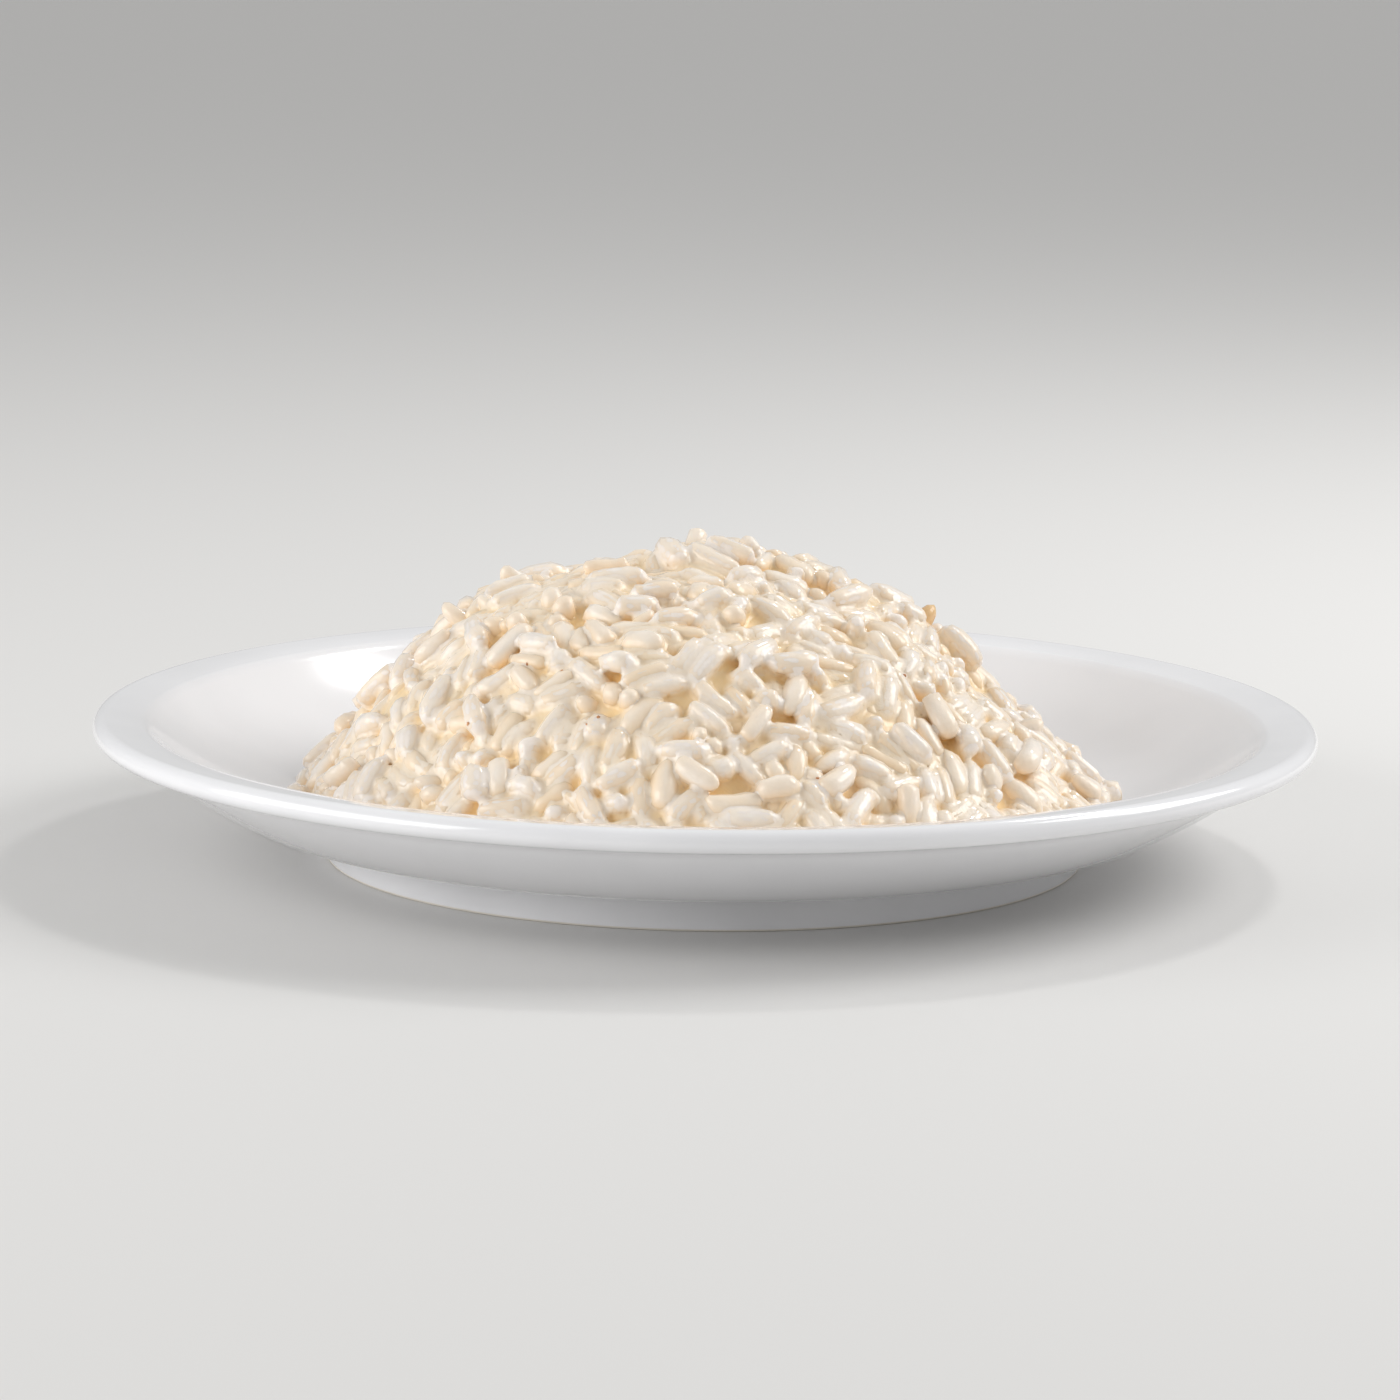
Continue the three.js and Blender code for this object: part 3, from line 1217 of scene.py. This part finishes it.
@dataclass
class Plate:
    """The porcelain plate, turned from its profile: foot ring, belly, rounded lip, narrow rim and well."""

    foot_radius: float = 74.4 * MM
    foot_width: float = 4 * MM
    foot_height: float = 6.2 * MM
    foot_round: float = 0.7 * MM
    recess: float = 3.9 * MM
    belly_radius: float = 89.7 * MM
    belly_height: float = 8.9 * MM
    shoulder_radius: float = 109.8 * MM
    shoulder_low: float = 20.6 * MM
    shoulder_drop: float = 1.1 * MM
    lip_round: float = 2.2 * MM
    lip_turn: float = 1.06
    lip_steps: int = 14
    well_radius: float = 74 * MM
    well_steps: int = 24
    floor_top: float = 9.6 * MM
    segments: int = 240

    def profile(self) -> list[Vector]:
        """The plate's outline, from the axis under the foot, out round the lip and in over the well."""
        low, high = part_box("plate")
        rim, top = (high.x - low.x) / 2, high.z
        line = self._foot() + self._underside(rim - self.lip_round, top - 2 * self.lip_round)
        middle = Vector((rim - self.lip_round, top - self.lip_round))
        for step in range(1, self.lip_steps + 1):
            angle = math.pi * (-0.5 + self.lip_turn * step / self.lip_steps)
            line.append(middle + self.lip_round * Vector((math.cos(angle), math.sin(angle))))
        crest = (self.shoulder_radius, top - self.shoulder_drop)
        line += bezier(line[-1], (crest[0] + 5 * MM, top - 0.25 * MM), (crest[0] + 2.5 * MM, top - 0.5 * MM),
                       crest, 8)
        line += self._well(crest)
        line.append(Vector((0, self.floor_top)))
        return [p for k, p in enumerate(line) if k == 0 or (p - line[k - 1]).length > TINY]

    def _foot(self) -> list[Vector]:
        """The recess under the plate and the foot ring, with both of its edges rounded."""
        out, r, deep = self.foot_radius, self.foot_round, self.recess
        inner = out - self.foot_width
        line = [Vector((0, deep)), Vector((inner - 3 * r, deep))]
        line += bezier(line[-1], (inner, deep), (inner, deep), (inner, 2 * r), 5)
        line += bezier((inner, r), (inner, 0), (inner, 0), (inner + r, 0), 5)
        line += bezier((out - r, 0), (out, 0), (out, 0), (out, r), 5)
        return line

    def _underside(self, lip_radius: float, lip_low: float) -> list[Vector]:
        """The belly and the shoulder, from the foot ring to under the lip."""
        foot, belly, shoulder = self.foot_radius + self.foot_round, self.belly_radius, self.shoulder_radius
        line = bezier((foot, self.foot_height), (foot + 0.5 * MM, 7.6 * MM), (foot + 2 * MM, 7.9 * MM),
                      (foot + 5.3 * MM, 7.9 * MM), 8)
        line += bezier(line[-1], (83 * MM, 7.85 * MM), (86.5 * MM, 8.0 * MM), (belly, self.belly_height), 8)
        line += bezier(line[-1], (belly + 5 * MM, 10.2 * MM), (shoulder - 3 * MM, 18 * MM),
                       (shoulder, self.shoulder_low), 16)
        line += bezier(line[-1], (shoulder + 2.2 * MM, 22.5 * MM), (shoulder + 4.5 * MM, lip_low),
                       (lip_radius, lip_low), 10)
        return line

    def _well(self, crest: tuple[float, float]) -> list[Vector]:
        """The well's wall, from just inside the rim's crest down to the flat floor."""
        made = []
        for step in range(1, self.well_steps + 1):
            share = 1 - step / self.well_steps
            radius = self.well_radius + share * (crest[0] - self.well_radius)
            made.append(Vector((radius, self.floor_top + (crest[1] - self.floor_top) * share ** 2)))
        return made

    def build(self, glaze: Material) -> Object:
        """Makes the plate.

        Args:
            glaze: the plate's material.

        Returns:
            The plate.
        """
        profile = self.profile()
        inner = profile[1:-1]
        angles = 2 * math.pi * np.arange(self.segments) / self.segments
        points = [(p.x * math.cos(a), p.x * math.sin(a), p.y) for a in angles for p in inner]
        n, m = self.segments, len(inner)
        low, high = n * m, n * m + 1
        points += [(0, 0, profile[0].y), (0, 0, profile[-1].y)]
        faces = []
        for k in range(n):
            a, b = k * m, (k + 1) % n * m
            faces.append((low, b, a))
            faces.append((high, a + m - 1, b + m - 1))
            faces += [(a + s, b + s, b + s + 1, a + s + 1) for s in range(m - 1)]
        plate = make_object("porcelain_plate", make_mesh("porcelain_plate", np.array(points), faces))
        plate.data.materials.append(glaze)
        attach(plate, BODY)
        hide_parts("plate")
        LOG.info("%s: %d triangles", plate.name, triangles(plate.data))
        return plate


def bezier(a: Any, b: Any, c: Any, d: Any, steps: int) -> list[Vector]:
    """Points along a cubic curve, after its start.

    Args:
        a: where it starts.
        b: its first handle.
        c: its second handle.
        d: where it ends.
        steps: how many points.

    Returns:
        The points.
    """
    a, b, c, d = Vector(a), Vector(b), Vector(c), Vector(d)
    shares = [k / steps for k in range(1, steps + 1)]
    return [(1 - t) ** 3 * a + 3 * (1 - t) ** 2 * t * b + 3 * (1 - t) * t ** 2 * c + t ** 3 * d
            for t in shares]


@dataclass(frozen=True)
class Light:
    """A soft light aimed at the heap: turn and rise in degrees, distances in metres and power in watts."""

    name: str
    turn: float
    rise: float
    away: float
    width: float
    tall: float
    power: float

    def build(self, aim: Vector) -> None:
        """Makes the light, aimed at a place.

        Args:
            aim: where it points.
        """
        lamp = bpy.data.lights.new(self.name, "AREA")
        lamp.shape = "RECTANGLE"
        lamp.size, lamp.size_y, lamp.energy = self.width, self.tall, self.power
        made = bpy.data.objects.new(self.name, lamp)
        turn, rise = math.radians(self.turn), math.radians(self.rise)
        toward = Vector((math.cos(turn) * math.cos(rise), math.sin(turn) * math.cos(rise), math.sin(rise)))
        made.location = aim + self.away * toward
        made.rotation_euler = (-toward).to_track_quat("-Z", "Y").to_euler()
        made.visible_camera = False
        bpy.context.scene.collection.objects.link(made)


LIGHTS = [
    Light("right", turn=12, rise=36, away=1.1, width=0.6, tall=0.6, power=5.8),
    Light("left", turn=200, rise=17, away=1.1, width=1.1, tall=0.6, power=6.4),
    Light("key", turn=52, rise=50, away=1.0, width=0.12, tall=0.1, power=1.4),
]


@dataclass
class Studio:
    """Floor, soft lights and camera."""

    aim: tuple = (-1.11 * MM, 0.0, 30.43 * MM)
    distance: float = 1.1
    elevation: float = 9.92
    roll: float = 0.80
    lens: float = 143.77
    sensor: float = 36.0
    surround: float = 0.535
    floor_reach: float = 6.0

    def build(self) -> None:
        """Makes the stage."""
        scene = bpy.context.scene
        scene.view_settings.view_transform = "Standard"
        self._floor()
        self._camera(scene)
        self._world(scene)
        for light in LIGHTS:
            light.build(Vector(self.aim))

    def _camera(self, scene: Scene) -> None:
        """Places the camera on its orbit, aimed and rolled."""
        camera = bpy.data.cameras.new("camera")
        camera.lens, camera.sensor_width = self.lens, self.sensor
        camera.clip_start, camera.clip_end = 0.01, 50
        rise = math.radians(self.elevation)
        aim = Vector(self.aim)
        eye = aim + self.distance * Vector((0, -math.cos(rise), math.sin(rise)))
        made = bpy.data.objects.new("camera", camera)
        look = (aim - eye).to_track_quat("-Z", "Y").to_matrix().to_4x4()
        made.matrix_world = Matrix.Translation(eye) @ look @ Matrix.Rotation(math.radians(self.roll), 4, "Z")
        scene.collection.objects.link(made)
        scene.camera = made

    def _world(self, scene: Scene) -> None:
        """An even pale surround."""
        world = bpy.data.worlds.new("surround")
        world.use_nodes = True
        background = world.node_tree.nodes["Background"]
        background.inputs[0].default_value = (1, 1, 1, 1)
        background.inputs[1].default_value = self.surround
        scene.world = world

    def _floor(self) -> None:
        """A wide pale floor."""
        side = self.floor_reach
        corners = np.array([(-side, -side, 0), (side, -side, 0), (side, side, 0), (-side, side, 0)])
        floor = make_object("floor", make_mesh("floor", corners, [(0, 1, 2, 3)]))
        floor.data.materials.append(PaleFloor().build())


def main() -> None:
    """Builds the stage, the plate and the heap, and reports each piece."""
    logging.basicConfig(level=logging.INFO, format="%(message)s")
    Studio().build()
    Plate().build(GlazedPorcelain().build())
    Heap().build(CookedRice().build(), CheeseCream().build(), ToastedSpeck().build())


if __name__ == "__main__":
    main()
